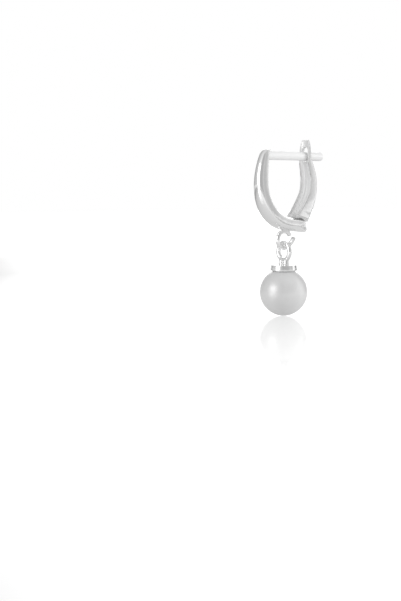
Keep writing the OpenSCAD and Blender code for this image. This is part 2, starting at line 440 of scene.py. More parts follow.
up = add_node(sky, "ShaderNodeMapRange", {"Value": parts["Z"], "From Min": 0.55, "From Max": 0.9})
roof = (ROOF / TENT_TOP, ROOF / TENT_TOP, ROOF / TENT_TOP, 1)
lined = add_node(
    sky, "ShaderNodeMixRGB", {"Fac": up.outputs[0], "Color1": tent.outputs["Color"], "Color2": roof},
)
walls = add_node(sky, "ShaderNodeBackground", {"Color": lined.outputs[0], "Strength": TENT_TOP})
paper = add_node(sky, "ShaderNodeBackground", {"Color": (1, 1, 1, 1), "Strength": 1})
either = add_node(sky, "ShaderNodeMixShader", {0: is_camera, 1: walls.outputs[0], 2: paper.outputs[0]})
add_node(sky, "ShaderNodeOutputWorld", {"Surface": either.outputs[0]})
bpy.context.scene.view_settings.view_transform = "Standard"
print("tent:", len(TENT), "directions")

# %% [markdown]
# ## The softbox
#
# The tall soft window on the left of the pearl and the white stripe down the hoop are one lamp: a softbox to
# the left of the camera, a little higher than the earring. It could be painted on the tent too, but an area
# light of the same size gives both and lights the floor evenly.

# %% Softbox to the left of the camera
SOFTBOX_AZIMUTH = CAMERA_AZIMUTH - math.radians(54)
SOFTBOX_DISTANCE = 0.30
SOFTBOX_WIDTH = 0.19
SOFTBOX_HEIGHT = 0.17
SOFTBOX_GLOW = 2.2
SOFTBOX_LIFT = 0.07
SOFTBOX_AIM = -0.010

softbox_way = X * math.sin(SOFTBOX_AZIMUTH) - Y * math.cos(SOFTBOX_AZIMUTH)
softbox_place = softbox_way * SOFTBOX_DISTANCE + Z * SOFTBOX_LIFT
bpy.ops.object.light_add(type="AREA", location=softbox_place)
softbox = bpy.context.active_object
softbox.name = "softbox"
softbox.rotation_euler = (Z * SOFTBOX_AIM - softbox_place).to_track_quat("-Z", "Y").to_euler()
softbox.data.shape = "RECTANGLE"
softbox.data.size = SOFTBOX_WIDTH
softbox.data.size_y = SOFTBOX_HEIGHT
softbox.data.energy = SOFTBOX_GLOW * math.pi * SOFTBOX_WIDTH * SOFTBOX_HEIGHT
print(f"softbox {softbox.data.energy:.3f} W")

# %% [markdown]
# ## The fill light
#
# The right half of the pearl glows more than the silver beside it, so a broad soft light reaches it from the
# right. A brighter tent wall would also show in the silver. This lamp is hidden from reflections, as one
# behind a diffuser is, and only lights what scatters light.

# %% Fill light to the right
FILL_AZIMUTH = CAMERA_AZIMUTH + math.radians(78)
FILL_SIZE = 0.16
FILL_GLOW = 6.5
FILL_LIFT = 0.03
FILL_AIM = -0.020

fill_way = X * math.sin(FILL_AZIMUTH) - Y * math.cos(FILL_AZIMUTH)
fill_place = fill_way * SOFTBOX_DISTANCE + Z * FILL_LIFT
bpy.ops.object.light_add(type="AREA", location=fill_place)
fill = bpy.context.active_object
fill.name = "fill_light"
fill.rotation_euler = (Z * FILL_AIM - fill_place).to_track_quat("-Z", "Y").to_euler()
fill.data.size = FILL_SIZE
fill.data.energy = FILL_GLOW * math.pi * FILL_SIZE ** 2
fill.visible_glossy = False
print(f"fill light {fill.data.energy:.3f} W")

# %% [markdown]
# ## The floor
#
# The earring is shown on a white glossy sheet, which gives back a pale upside-down picture of the pearl that
# fades downwards. Acrylic does that: white inside, with a clear smooth skin. The skin reflects more at a
# flat angle by itself, through its IOR, so that reflection needs no painting. The sheet's glow is painted
# light: an emission that no lamp gives, strong in front of the earring so that the sheet there is as white
# as the paper behind it, nearly dark in a ring further out, and bright again far off. That far painted glow
# is the bright band low on the sides of the hoop and the latch.

# %% Acrylic floor just under the pearl
FLOOR_GAP = 0.03 * MM
FLOOR_SIZE = 1.2
# Clouds in the skin's haze are about 17 mm across
HAZE_SCALE = 60
# The sheet's painted glow: how far in front of the earring its middle lies, and its glow by distance from
# there, in mm
PAINTED_GLOW_FORWARD = 70
GLOW = [(0, 0.72), (30, 0.72), (55, 0.56), (85, 0.46), (150, 0.06), (200, 0.06), (240, 0.35), (300, 0.35)]
GLOW_REACH = 300

floor_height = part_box("pearl")[0][2] - FLOOR_GAP
bpy.ops.object.select_all(action="DESELECT")
bpy.ops.mesh.primitive_plane_add(size=FLOOR_SIZE, location=(0, 0, floor_height))
floor = bpy.context.active_object
floor.name = "acrylic_floor"
bpy.ops.object.transform_apply(location=True, rotation=True, scale=True)

acrylic, tree, output = new_material("white_acrylic_sheet")
place = add_node(tree, "ShaderNodeTexCoord").outputs["Object"]
haze = add_node(tree, "ShaderNodeTexNoise", {"Vector": place, "Scale": HAZE_SCALE, "Detail": 3})
haze_range = add_node(
    tree, "ShaderNodeMapRange", {"Value": haze.outputs["Fac"], "To Min": 0.07, "To Max": 0.11},
)
# Painted glow: emission that changes with distance from a point in front of the earring, with no lamp behind
# it
painted_glow_place = towards_camera * PAINTED_GLOW_FORWARD * MM
far = add_node(tree, "ShaderNodeVectorMath", {0: place, 1: painted_glow_place}, operation="DISTANCE")
reach = add_node(
    tree, "ShaderNodeMapRange", {"Value": far.outputs["Value"], "From Min": 0, "From Max": GLOW_REACH * MM},
)
painted_glow_ramp = add_node(
    tree, "ShaderNodeValToRGB", {"Fac": reach.outputs[0]},
    stops=[(distance / GLOW_REACH, glow) for distance, glow in GLOW],
)
skin = add_node(
    tree, "ShaderNodeBsdfPrincipled",
    {
        "Base Color": linear("7C7C7C"),
        "Roughness": haze_range.outputs[0],
        "IOR": 1.5,
        "Emission Color": (1, 1, 1, 1),
        "Emission Strength": painted_glow_ramp.outputs[0],
    },
)
tree.links.new(skin.outputs[0], output.inputs[0])
floor.data.materials.append(acrylic)
print(f"floor at {floor_height / MM:.2f} mm")

# %% [markdown]
# ## Polished silver
#
# The hoop is sterling silver, plated with rhodium and buffed on a wheel, so it is neutral grey and mirrors
# its surroundings. A perfect mirror would look like plastic. A buffing wheel leaves two things that the eye
# sees: a slight swim in the reflections, about a millimetre long, and hair-fine scratches. These are really
# 0.03 mm wide and are drawn at 0.045 mm, so that they still show. A metal keeps its IOR.

# %% Buffed rhodium over silver
SWIM = 0.9
SCRATCH = 0.045


def per_mm(length):
    """The scale of a noise whose features are about this many millimetres long."""
    return 1 / (length * MM)


polished, tree, output = new_material("silver_rhodium_polished")
place = add_node(tree, "ShaderNodeTexCoord").outputs["Object"]
swim = add_node(tree, "ShaderNodeTexNoise", {"Vector": place, "Scale": per_mm(SWIM), "Detail": 1})
stretched = add_node(tree, "ShaderNodeMapping", {"Vector": place, "Scale": (1, 0.12, 0.12)})
hairs = add_node(
    tree, "ShaderNodeTexNoise", {"Vector": stretched.outputs[0], "Scale": per_mm(SCRATCH), "Detail": 3},
)
wheel = add_node(
    tree, "ShaderNodeBump", {"Height": swim.outputs["Fac"], "Strength": 0.10, "Distance": 0.1 * MM},
)
scratched = add_node(
    tree, "ShaderNodeBump",
    {"Height": hairs.outputs["Fac"], "Strength": 0.05, "Distance": 0.01 * MM, "Normal": wheel.outputs[0]},
)
gloss = add_node(tree, "ShaderNodeMapRange", {"Value": hairs.outputs["Fac"], "To Min": 0.06, "To Max": 0.14})
tint = add_node(
    tree, "ShaderNodeMixRGB",
    {"Fac": hairs.outputs["Fac"], "Color1": linear("F0F0F0"), "Color2": linear("F8F8F8")},
)
metal = add_node(
    tree, "ShaderNodeBsdfPrincipled",
    {
        "Base Color": tint.outputs[0],
        "Metallic": 1,
        "Roughness": gloss.outputs[0],
        "Normal": scratched.outputs[0],
    },
)
tree.links.new(metal.outputs[0], output.inputs[0])
print("finish:", polished.name, "of", len(tree.nodes), "nodes")

# %% [markdown]
# ## Brushed silver
#
# The ear post is drawn wire that is brushed along its length. The fine grooves catch light from the whole
# tent and scatter it, so the post is a soft even grey with next to no mirror image. More roughness alone
# would leave it dark, because a rough metal still shows one side of the tent, so the shader is only a small
# part metal.

# %% Silver brushed along the post
BRUSH = 0.05

satin, tree, output = new_material("silver_brushed")
place = add_node(tree, "ShaderNodeTexCoord").outputs["Object"]
stretched = add_node(tree, "ShaderNodeMapping", {"Vector": place, "Scale": (1, 0.08, 1)})
brush = add_node(
    tree, "ShaderNodeTexNoise", {"Vector": stretched.outputs[0], "Scale": per_mm(BRUSH), "Detail": 4},
)
lines = add_node(
    tree, "ShaderNodeBump", {"Height": brush.outputs["Fac"], "Strength": 0.25, "Distance": 0.02 * MM},
)
gloss = add_node(tree, "ShaderNodeMapRange", {"Value": brush.outputs["Fac"], "To Min": 0.38, "To Max": 0.5})
tint = add_node(
    tree, "ShaderNodeMixRGB",
    {"Fac": brush.outputs["Fac"], "Color1": linear("F2F2F2"), "Color2": linear("FCFCFC")},
)
metal = add_node(
    tree, "ShaderNodeBsdfPrincipled",
    {
        "Base Color": tint.outputs[0],
        "Metallic": 0.15,
        "Roughness": gloss.outputs[0],
        "Normal": lines.outputs[0],
    },
)
tree.links.new(metal.outputs[0], output.inputs[0])
print("finish:", satin.name, "of", len(tree.nodes), "nodes")

# %% [markdown]
# ## Tarnished silver
#
# Where no cloth reaches, inside the hinge, silver goes darker and duller in soft clouds. A thin film does
# it, so the metal stays metal: only its tint and its roughness change, with one noise for both.

# %% Tarnish inside the hinge
CLOUD = 0.34

tarnished, tree, output = new_material("silver_tarnished")
place = add_node(tree, "ShaderNodeTexCoord").outputs["Object"]
cloud = add_node(tree, "ShaderNodeTexNoise", {"Vector": place, "Scale": per_mm(CLOUD), "Detail": 3})
gloss = add_node(tree, "ShaderNodeMapRange", {"Value": cloud.outputs["Fac"], "To Min": 0.35, "To Max": 0.55})
tint = add_node(
    tree, "ShaderNodeMixRGB",
    {"Fac": cloud.outputs["Fac"], "Color1": linear("C4C4C4"), "Color2": linear("E4E4E4")},
)
metal = add_node(
    tree, "ShaderNodeBsdfPrincipled",
    {"Base Color": tint.outputs[0], "Metallic": 1, "Roughness": gloss.outputs[0]},
)
tree.links.new(metal.outputs[0], output.inputs[0])
print("finish:", tarnished.name, "of", len(tree.nodes), "nodes")

# %% [markdown]
# ## Silver as cast
#
# The channel in the latch is as it came from the mould, since the wheel can't reach it. Its skin is a little
# grainy, with long file strokes over it. The grains are drawn at 0.17 mm, coarser than real ones, so that
# they show. The acid that cleans a casting leaves it chalky white, so most of the light is scattered and not
# mirrored. At the tip fingers rub the skin back to metal, and one ramp on the height takes care of that.

# %% Cast skin of the latch
GRAIN = 0.17
STROKE = 0.5
RUBBED_FROM = -1.3
RUBBED_TO = -0.4

cast, tree, output = new_material("silver_as_cast")
place = add_node(tree, "ShaderNodeTexCoord").outputs["Object"]
grain = add_node(
    tree, "ShaderNodeTexNoise", {"Vector": place, "Scale": per_mm(GRAIN), "Detail": 3, "Roughness": 0.6},
)
pits = add_node(tree, "ShaderNodeTexVoronoi", {"Vector": place, "Scale": per_mm(GRAIN * 1.6)})
relief = add_node(
    tree, "ShaderNodeMath", {0: grain.outputs["Fac"], 1: pits.outputs["Distance"]}, operation="ADD",
)
skin = add_node(tree, "ShaderNodeBump", {"Height": relief.outputs[0], "Strength": 0.7, "Distance": 0.05 * MM})
gloss = add_node(tree, "ShaderNodeMapRange", {"Value": grain.outputs["Fac"], "To Min": 0.42, "To Max": 0.62})
stretched = add_node(tree, "ShaderNodeMapping", {"Vector": place, "Scale": (1, 0.06, 0.06)})
strokes = add_node(
    tree, "ShaderNodeTexNoise", {"Vector": stretched.outputs[0], "Scale": per_mm(STROKE), "Detail": 2},
)
streaks = add_node(
    tree, "ShaderNodeMapRange", {"Value": strokes.outputs["Fac"], "From Min": 0.35, "From Max": 0.65},
)
tint = add_node(
    tree, "ShaderNodeMixRGB",
    {"Fac": streaks.outputs[0], "Color1": linear("ECECEC"), "Color2": linear("FEFEFE")},
)
height = add_node(tree, "ShaderNodeSeparateXYZ", {0: place}).outputs["Z"]
rubbed = add_node(
    tree, "ShaderNodeMapRange",
    {
        "Value": height,
        "From Min": RUBBED_FROM * MM,
        "From Max": RUBBED_TO * MM,
        "To Min": 0.1,
        "To Max": 0.95,
    },
)
metal = add_node(
    tree, "ShaderNodeBsdfPrincipled",
    {
        "Base Color": tint.outputs[0],
        "Metallic": rubbed.outputs[0],
        "Roughness": gloss.outputs[0],
        "Normal": skin.outputs[0],
    },
)
tree.links.new(metal.outputs[0], output.inputs[0])
print("finish:", cast.name, "of", len(tree.nodes), "nodes")

# %% [markdown]
# ## Nacre
#
# A pearl is thousands of thin layers of nacre. Light that goes in comes back softly, as from satin, and the
# layers mirror a little from deeper down, which is its lustre. So the shader is part metal, whose blurred
# reflection is tinted by the body, with a thin coat for the gloss of the top layer. Scattering under the
# skin would be nearer to the physics but noisier. The surface swells very slightly over about 1.5 mm and
# has a skin as fine as 0.09 mm.

# %% Layers of the pearl
SWELL = 1.5
NACRE_GRAIN = 0.09

nacre, tree, output = new_material("pearl_nacre")
place = add_node(tree, "ShaderNodeTexCoord").outputs["Object"]
swell = add_node(tree, "ShaderNodeTexNoise", {"Vector": place, "Scale": per_mm(SWELL), "Detail": 2})
fine = add_node(tree, "ShaderNodeTexNoise", {"Vector": place, "Scale": per_mm(NACRE_GRAIN), "Detail": 2})
growth = add_node(
    tree, "ShaderNodeBump", {"Height": swell.outputs["Fac"], "Strength": 0.15, "Distance": 0.1 * MM},
)
skin = add_node(
    tree, "ShaderNodeBump",
    {"Height": fine.outputs["Fac"], "Strength": 0.08, "Distance": 0.01 * MM, "Normal": growth.outputs[0]},
)
body = add_node(
    tree, "ShaderNodeMixRGB",
    {"Fac": swell.outputs["Fac"], "Color1": linear("DADADA"), "Color2": linear("E1E1E1")},
)
layers = add_node(
    tree, "ShaderNodeBsdfPrincipled",
    {
        "Base Color": body.outputs[0],
        "Metallic": 0.25,
        "Roughness": 0.35,
        "Coat Weight": 0.5,
        "Coat Roughness": 0.3,
        "Normal": skin.outputs[0],
    },
)
tree.links.new(layers.outputs[0], output.inputs[0])
print("finish:", nacre.name, "of", len(tree.nodes), "nodes")

# %% [markdown]
# ## The hoop's front band
#
# The band is one forged bar: flat against the lobe with rounded edges, straight at its sides and domed in
# front. It is 1 mm wide at the top and 2.6 mm where it turns under. The rectangular bar is forged first.
# Then its two inner edges get a small bevel of fixed size, and its two front edges one that reaches half way
# across, so that the two meet in a full dome whatever the width there.

# %% Forge the band and round its edges
# Inner y, inner z, front y, front z, width, in millimetres, from the top to the hinge
BAND = [
    [-3.36, 0.86, -4.38, 0.74, 1.02],
    [-3.60, 0.50, -4.66, 0.46, 1.22],
    [-3.76, 0.00, -4.96, -0.05, 1.38],
    [-3.93, -1.30, -5.42, -1.36, 1.60],
    [-4.08, -2.80, -5.70, -2.84, 1.80],
    [-4.10, -4.20, -5.76, -4.45, 2.02],
    [-3.93, -5.60, -5.50, -6.10, 2.26],
    [-3.45, -6.80, -4.90, -7.60, 2.48],
    [-2.70, -7.75, -4.06, -8.82, 2.58],
    [-1.80, -8.45, -2.92, -9.86, 2.58],
    [-0.80, -8.95, -1.60, -10.55, 2.52],
    [0.30, -9.20, -0.05, -10.86, 2.44],
    [1.30, -9.29, 1.20, -10.95, 2.36],
    [2.36, -9.39, 2.36, -10.98, 2.29],
]
INNER_EDGE = 0.18 * MM
# Percent of the width that each front bevel takes
FRONT_DOME = 49.9
DOME_PROFILE = 0.53
HOOP_FINISHES = (polished, satin, tarnished)


def finish_all(piece, finishes, number):
    """Give a piece these finishes, and the one with this number, from 0, to all of its faces."""
    for finish in finishes:
        piece.data.materials.append(finish)
    piece.data.polygons.foreach_set("material_index", [number] * len(piece.data.polygons))


band_rows = smooth_rows(BAND, 5)
hoop = forge_bar("silver_hoop", band_rows)
finish_all(hoop, HOOP_FINISHES, 0)
work_on(hoop, "EDGE")
print("inner edges:", choose(hoop, along_corner(band_rows, 0, 1)))
bpy.ops.mesh.bevel(offset=INNER_EDGE, offset_type="OFFSET", segments=5, profile=0.5, clamp_overlap=True)
print("front edges:", choose(hoop, along_corner(band_rows, 2, 3)))
bpy.ops.mesh.bevel(
    offset_pct=FRONT_DOME, offset_type="PERCENT", segments=12, profile=DOME_PROFILE, clamp_overlap=True,
)
put_down(hoop, merge=6e-3 * MM)
report(hoop)

# %% [markdown]
# ## The ear post
#
# The post is wire of 1.25 mm, soldered to the back of the band, with a rounded tip so that it doesn't hurt
# the ear. A cylinder with a bevel would do as well. One turned outline has the tip in it from the start.

# %% Turn the post
POST_RADIUS = 0.625
POST_ROOT = -4.3
POST_REACH = 6.65
TIP_RADIUS = 0.3

post_outline = [(0, POST_ROOT), (POST_RADIUS, POST_ROOT)]
post_outline += arc(POST_RADIUS - TIP_RADIUS, POST_REACH - TIP_RADIUS, TIP_RADIUS, 0, 90, 8)
post_outline += [(0, POST_REACH)]
post = turn_part("post", post_outline, Y, steps=64)
finish_all(post, HOOP_FINISHES, 1)
report(post)

# %% [markdown]
# ## The hinge end of the hoop
#
# The hoop ends in two knuckles with the latch's knuckle between them. They could be two pieces of tube, but
# here they are one bar soldered across, round at the top, blunt at its lower back corner and running out to
# the front under the band, with a slot sawn in it for the middle knuckle. The slot also leaves room for the
# neck that turns with the latch, so it reaches past the bar to the back and the top.

# %% Knuckles, slot and pin hole
HINGE = (0, 2.36, -10.26)
KNUCKLE_BACK, KNUCKLE_TOP, KNUCKLE_LOW = 0.72, 0.85, 0.88
CORNER = 0.42
# Millimetres before and under the hinge
KNUCKLE_FAIRING = [
    (0.1, 0.87), (0.5, 0.84), (0.9, 0.77), (1.3, 0.67), (1.6, 0.5),
    (1.9, 0.28), (2.1, 0.06), (2.1, -0.2), (0.5, -0.5),
]
KNUCKLE_RIM = 0.14
SLOT_RADIUS = 0.68
KNUCKLE_SPAN = 2.30
TONGUE_WIDTH = 1.04
HINGE_GAP = 0.08
NECK_FRONT = 0.14
PIN_RADIUS = 0.25
PRESS_GAP = 0.005
HOLE_RIM = 0.02
# The room for the neck reaches this far from the hinge, and a drill is this much longer than its hole
ROOM = 1
DRILL_PAST = 1


def rounded_rod(name, radius, length, rim, at):
    """A rod along X with rounded rims, with its middle at a place."""
    half = length / 2
    outline = [(0, -half)] + arc(radius - rim, -half + rim, rim, 270, 360, 4)
    outline += arc(radius - rim, half - rim, rim, 0, 90, 4) + [(0, half)]
    return turn_part(name, outline, X, at=at, steps=64)


def saw_plate(name, outline, axis, start, end):
    """A plate between two places on an axis. Its outline is in (y, z) for X and in (x, z) for Y."""
    side = Y if axis == X else X
    places = [(side * a + Z * b + axis * start) * MM for a, b in outline]
    piece = draw_line(name, places)
    bpy.ops.mesh.edge_face_add()
    bpy.ops.mesh.extrude_region_move(TRANSFORM_OT_translate={"value": axis * (end - start) * MM})
    put_down(piece)
    return piece


_, hinge_y, hinge_z = HINGE
round_top = arc(0, 0, 1, 90, 0, 16)
knuckle_outline = [(hinge_y + y * KNUCKLE_BACK, hinge_z + z * KNUCKLE_TOP) for y, z in round_top]
knuckle_outline += arc(hinge_y + KNUCKLE_BACK - CORNER, hinge_z - KNUCKLE_LOW + CORNER, CORNER, 0, -90, 8)
knuckle_outline += [(hinge_y - y, hinge_z - z) for y, z in KNUCKLE_FAIRING]
knuckles = saw_plate("knuckles", knuckle_outline, X, -KNUCKLE_SPAN / 2, KNUCKLE_SPAN / 2)
file_edges(knuckles, KNUCKLE_RIM * MM, angle=50, segments=4)
report(knuckles)
slot_half = TONGUE_WIDTH / 2 + HINGE_GAP
slot_front = NECK_FRONT + HINGE_GAP
slot_corner = math.degrees(math.acos(-slot_front / SLOT_RADIUS))
room_outline = [(hinge_y - slot_front, hinge_z + ROOM)]
room_outline += arc(hinge_y, hinge_z, SLOT_RADIUS, slot_corner, 270, 20)
room_outline += [(hinge_y, hinge_z - ROOM), (hinge_y + ROOM, hinge_z - ROOM)]
room_outline += [(hinge_y + ROOM, hinge_z + ROOM)]
tongue_slot = saw_plate("tongue_slot", room_outline, X, -slot_half, slot_half)
finish_all(tongue_slot, HOOP_FINISHES, 2)
pin_hole = rounded_rod("pin_hole", PIN_RADIUS + PRESS_GAP, KNUCKLE_SPAN + DRILL_PAST, HOLE_RIM, HINGE)
report(pin_hole)

# %% [markdown]
# ## The ring under the band
#
# A round wire of 0.68 mm is bent into a ring in the plane of the hoop and soldered under the band. It is cut
# at the back, and its lower end has sprung a little to one side. A curve could be drawn for the whole wire,
# but a wire that is bent first and sprung afterwards keeps a true circle for most of its way. Each section
# of the last 77 degrees is pushed sideways and outwards, more and more towards the end, and turned to face
# the way that the wire goes there, so that the wire stays round.

# %% Bend the hoop's ring and spring its end
HOOP_RING_AT = (0, -0.4, -12.18)
HOOP_RING_RADIUS = 1.2
WIRE_RADIUS = 0.34
RING_START, RING_BEND, RING_END = 28, 292, 369
RING_STEPS = 118
SPRING_SIDE = 0.55
SPRING_OUT = 0.16
CUT_EDGE = 0.07


def upright_way(degrees):
    """The way from a ring's middle at an angle from the back over the top, in the plane of the hoop."""
    return Y * math.cos(math.radians(degrees)) + Z * math.sin(math.radians(degrees))


ring = bend_wire(
    "hoop_ring", HOOP_RING_AT, HOOP_RING_RADIUS, WIRE_RADIUS, X, upright_way(RING_START),
    math.radians(RING_END - RING_START), RING_STEPS,
)
ring_middle = Vector(HOOP_RING_AT) * MM
work_on(ring, "VERT")
step = (RING_END - RING_START) / RING_STEPS
for i in range(RING_STEPS + 1):
    degrees = RING_START + step * i
    bend = (degrees - RING_BEND) / (RING_END - RING_BEND)
    if bend <= 0:
        continue
    way = upright_way(degrees)
    normal = X.cross(way)

    def on_section(vert):
        offset = vert.co - ring_middle
        return abs(offset.dot(normal)) < 2e-3 * MM and offset.dot(way) > 0

    choose(ring, on_section)
    push = (X * SPRING_SIDE + way * SPRING_OUT) * MM * bend ** 2
    bpy.ops.transform.translate(value=push)
    lean = math.atan(2 * SPRING_SIDE * bend / (HOOP_RING_RADIUS * math.radians(RING_END - RING_BEND)))
    section_middle = ring_middle + way * HOOP_RING_RADIUS * MM + push
    bpy.ops.transform.rotate(value=-lean, orient_axis="Y", center_override=section_middle)
put_down(ring)
file_edges(ring, CUT_EDGE * MM, angle=60, segments=4)
report(ring)

# %% [markdown]
# ## One piece of silver
#
# Band, knuckles, post and ring are soldered, so they are one solid with smooth seams. They could stay
# separate objects that overlap, but then the ring and the post would have hidden ends inside the band. The
# slot and the pin's hole are cut last, as they are at the bench, so that they go through everything.

# %% Solder the hoop together
for part in (knuckles, post, ring):
    solder(hoop, part)
    report(hoop)
saw_out(hoop, tongue_slot, pin_hole)
buff(hoop, 40)
report(hoop)

# %% [markdown]
# ## The latch
#
# The latch is cast: a curved channel that is open towards the lobe, with thin walls, two ribs along its
# floor and a slot for the post. A sheet with thickness would give even walls, but the real back is thick and
# round. So a bar is forged along the latch's curve and its back edges are rounded, and a second bar with
# rounded corners is cut out of it for the channel. The tip and the front of the end plate keep the cast
# skin.

# %% Forge the latch and hollow it
# Rim y, rim z, back y, back z, width, depth of the hollow, in millimetres, from the tip to the hinge
LATCH = [
    [3.45, 2.36, 3.79, 2.38, 1.38, 0.00],
    [3.37, 1.90, 3.84, 1.92, 1.66, 0.08],
    [3.28, 1.40, 3.88, 1.40, 1.86, 0.12],
    [3.24, 0.60, 3.92, 0.60, 1.98, 0.16],
    [3.22, -0.30, 4.04, -0.30, 2.02, 0.20],
    [3.26, -1.04, 4.26, -1.00, 2.14, 0.25],
    [3.45, -1.90, 4.54, -1.85, 2.30, 0.30],
    [3.62, -2.84, 4.84, -2.95, 2.44, 0.33],
    [3.66, -4.24, 4.94, -4.40, 2.54, 0.35],
    [3.47, -5.31, 4.80, -5.75, 2.60, 0.36],
    [2.93, -6.37, 4.42, -7.00, 2.62, 0.37],
    [2.26, -7.44, 3.93, -8.20, 2.62, 0.38],
    [1.82, -8.00, 3.66, -8.76, 2.60, 0.38],
    [1.52, -8.34, 3.52, -8.98, 2.60, 0.36],
    [1.40, -8.46, 3.47, -9.08, 2.60, 0.26],
    [1.26, -8.56, 3.42, -9.20, 2.60, 0.00],
    [1.20, -8.70, 3.36, -9.36, 2.58, 0.00],
    [1.22, -9.00, 3.24, -9.64, 2.54, 0.00],
]
LATCH_FINISHES = (polished, cast, tarnished)
WALL = 0.17
ABOVE_RIM = -0.4
LEAST_DEPTH = 0.03
CHANNEL_ROUND = 24
HOLLOW_LOW = -8.47
BACK_EDGE = 0.7 * MM
TIP_LOW = -0.3 * MM
PLATE_HIGH = -8.45 * MM

latch_rows = smooth_rows(LATCH, 4)
latch = forge_bar("silver_latch", [row[:5] for row in latch_rows])
finish_all(latch, LATCH_FINISHES, 0)
work_on(latch, "EDGE")
print("back edges:", choose(latch, along_corner(latch_rows, 2, 3)))
bpy.ops.mesh.bevel(offset=BACK_EDGE, offset_type="OFFSET", segments=8, profile=0.5, clamp_overlap=True)
put_down(latch, merge=5e-3 * MM)
for face in latch.data.polygons:
    if face.center.z > TIP_LOW or (face.center.z < PLATE_HIGH and face.normal.y < -0.6):
        face.material_index = 1
report(latch)


def inside_row(row, start, end, width, side=0):
    """A row for a bar that stands between two depths under the rim of a latch row."""
    rim = Vector((row[0], row[1]))
    deeper = (Vector((row[2], row[3])) - rim).normalized()
    first, second = rim + deeper * start, rim + deeper * end
    return [first.x, first.y, second.x, second.y, width, side]


hollow_rows = [row for row in latch_rows if row[5] > LEAST_DEPTH and row[1] > HOLLOW_LOW]
print("hollow from z", round(hollow_rows[0][1], 2), "to", round(hollow_rows[-1][1], 2))
channel_rows = [inside_row(row, ABOVE_RIM, row[5], row[4] - 2 * WALL) for row in hollow_rows]
channel = forge_bar("channel", channel_rows)
work_on(channel, "EDGE")
print("channel edges:", choose(channel, along_corner(channel_rows, 2, 3)))
bpy.ops.mesh.bevel(
    offset_pct=CHANNEL_ROUND, offset_type="PERCENT", segments=4, profile=0.5, clamp_overlap=True,
)
put_down(channel)
finish_all(channel, LATCH_FINISHES, 1)
saw_out(latch, channel)
report(latch)

# %% [markdown]
# ## The latch's knuckle and slot
#
# The latch ends just over the hoop in a low arch that clears the two outer knuckles. A short neck in its
# middle carries the middle knuckle, and both are one plate, which leaves no seam between them. The slot lets
# the post through at every angle at which the latch can stand. It could be a box, but a real one is drilled
# at both ends and sawn between, so its ends are round.

# %% Neck, middle knuckle, post slot and pin hole
ARCH_MIDDLE = 1.55
ARCH_TOP = -8.97
ARCH_RADIUS = 1.4
ARCH_HALF = 1.5
NECK_TOP = 1.3
TONGUE_RADIUS = 0.56
RUN_GAP = 0.03
SLOT_HALF = 0.725
SLOT_LOW, SLOT_HIGH = -0.06, 0.672
SLOT_FROM, SLOT_TO = 2.5, 5.5

arch_outline = arc(ARCH_MIDDLE, ARCH_TOP - ARCH_RADIUS, ARCH_RADIUS, 35, 125, 24)
arch = saw_plate("arch", arch_outline, X, -ARCH_HALF, ARCH_HALF)
finish_all(arch, LATCH_FINISHES, 1)
saw_out(latch, arch)
report(latch)
neck_corner = math.degrees(math.acos(-NECK_FRONT / TONGUE_RADIUS))
tongue_outline = [(hinge_y - NECK_FRONT, hinge_z + NECK_TOP)]
tongue_outline += arc(hinge_y, hinge_z, TONGUE_RADIUS, neck_corner, 360, 40)
tongue_outline += [(hinge_y + TONGUE_RADIUS, hinge_z + NECK_TOP)]
tongue = saw_plate("tongue", tongue_outline, X, -TONGUE_WIDTH / 2, TONGUE_WIDTH / 2)
finish_all(tongue, LATCH_FINISHES, 2)
tongue_hole = rounded_rod("tongue_hole", PIN_RADIUS + RUN_GAP, TONGUE_WIDTH + DRILL_PAST, HOLE_RIM, HINGE)
slot_outline = arc(0, SLOT_HIGH, SLOT_HALF, 0, 180, 24) + arc(0, SLOT_LOW, SLOT_HALF, 180, 360, 24)
post_slot = saw_plate("post_slot", slot_outline, Y, SLOT_FROM, SLOT_TO)
solder(latch, tongue)
report(latch)
saw_out(latch, post_slot, tongue_hole)
report(latch)

# %% [markdown]
# ## The latch's ribs
#
# Two low ribs stiffen the channel's floor. A bump in the finish would be flat from the side, so they are
# real: one is forged along the floor and rounded on top, and the other is a copy turned over to the other
# side. They are soldered on last, because their upper ends lie on an edge of the floor, where a later
# Boolean can lose a corner and leave the mesh open.

# %% Ribs on the channel's floor
RIB_HEIGHT = 0.22
RIB_PLACE = 0.5
RIB_TOP = -0.9
RIB_HALF = 0.22
RIB_LOW = -8.3
RIB_SHARE = 0.5
RIB_ROOT = 0.08
RIB_ROUND = 45

rib_rows = []
for row in hollow_rows:
    if RIB_LOW < row[1] < RIB_TOP:
        half = row[4] / 2 - WALL
        top = row[5] - min(RIB_HEIGHT, row[5] * RIB_SHARE)
        root = row[5] + RIB_ROOT
        rib_rows.append(inside_row(row, top, root, 2 * RIB_HALF * half, RIB_PLACE * half))
rib_rows.append([b + 2 * (b - a) for a, b in zip(rib_rows[-2], rib_rows[-1])])
rib = forge_bar("rib", rib_rows)
work_on(rib, "EDGE")
print("rib edges:", choose(rib, along_corner(rib_rows, 0, 1)))
bpy.ops.mesh.bevel(offset_pct=RIB_ROUND, offset_type="PERCENT", segments=3, profile=0.5, clamp_overlap=True)
put_down(rib)
finish_all(rib, LATCH_FINISHES, 1)
report(rib)
take(rib)
bpy.ops.object.duplicate()
other_rib = bpy.context.active_object
work_on(other_rib)
bpy.ops.mesh.select_all(action="SELECT")
bpy.ops.transform.resize(value=(-1, 1, 1), center_override=(0, 0, 0))
put_down(other_rib)
take(rib)
other_rib.select_set(True)
bpy.ops.object.join()
solder(latch, rib)
work_on(latch)
put_down(latch, merge=0.2e-3 * MM)
buff(latch, 35)
report(latch)

# %% [markdown]
# ## The hinge pin
#
# The pin is a piece of wire. Once it is through the knuckles, its ends are filed flush and their edges are
# broken. It is turned like the holes that it goes through, so it has their steps and stays clear of them.

# %% Turn the pin
PIN_RIM = 0.03

pin = rounded_rod("hinge_rivet", PIN_RADIUS, KNUCKLE_SPAN, PIN_RIM, HINGE)
finish_all(pin, [polished], 0)
buff(pin, 50)
report(pin)

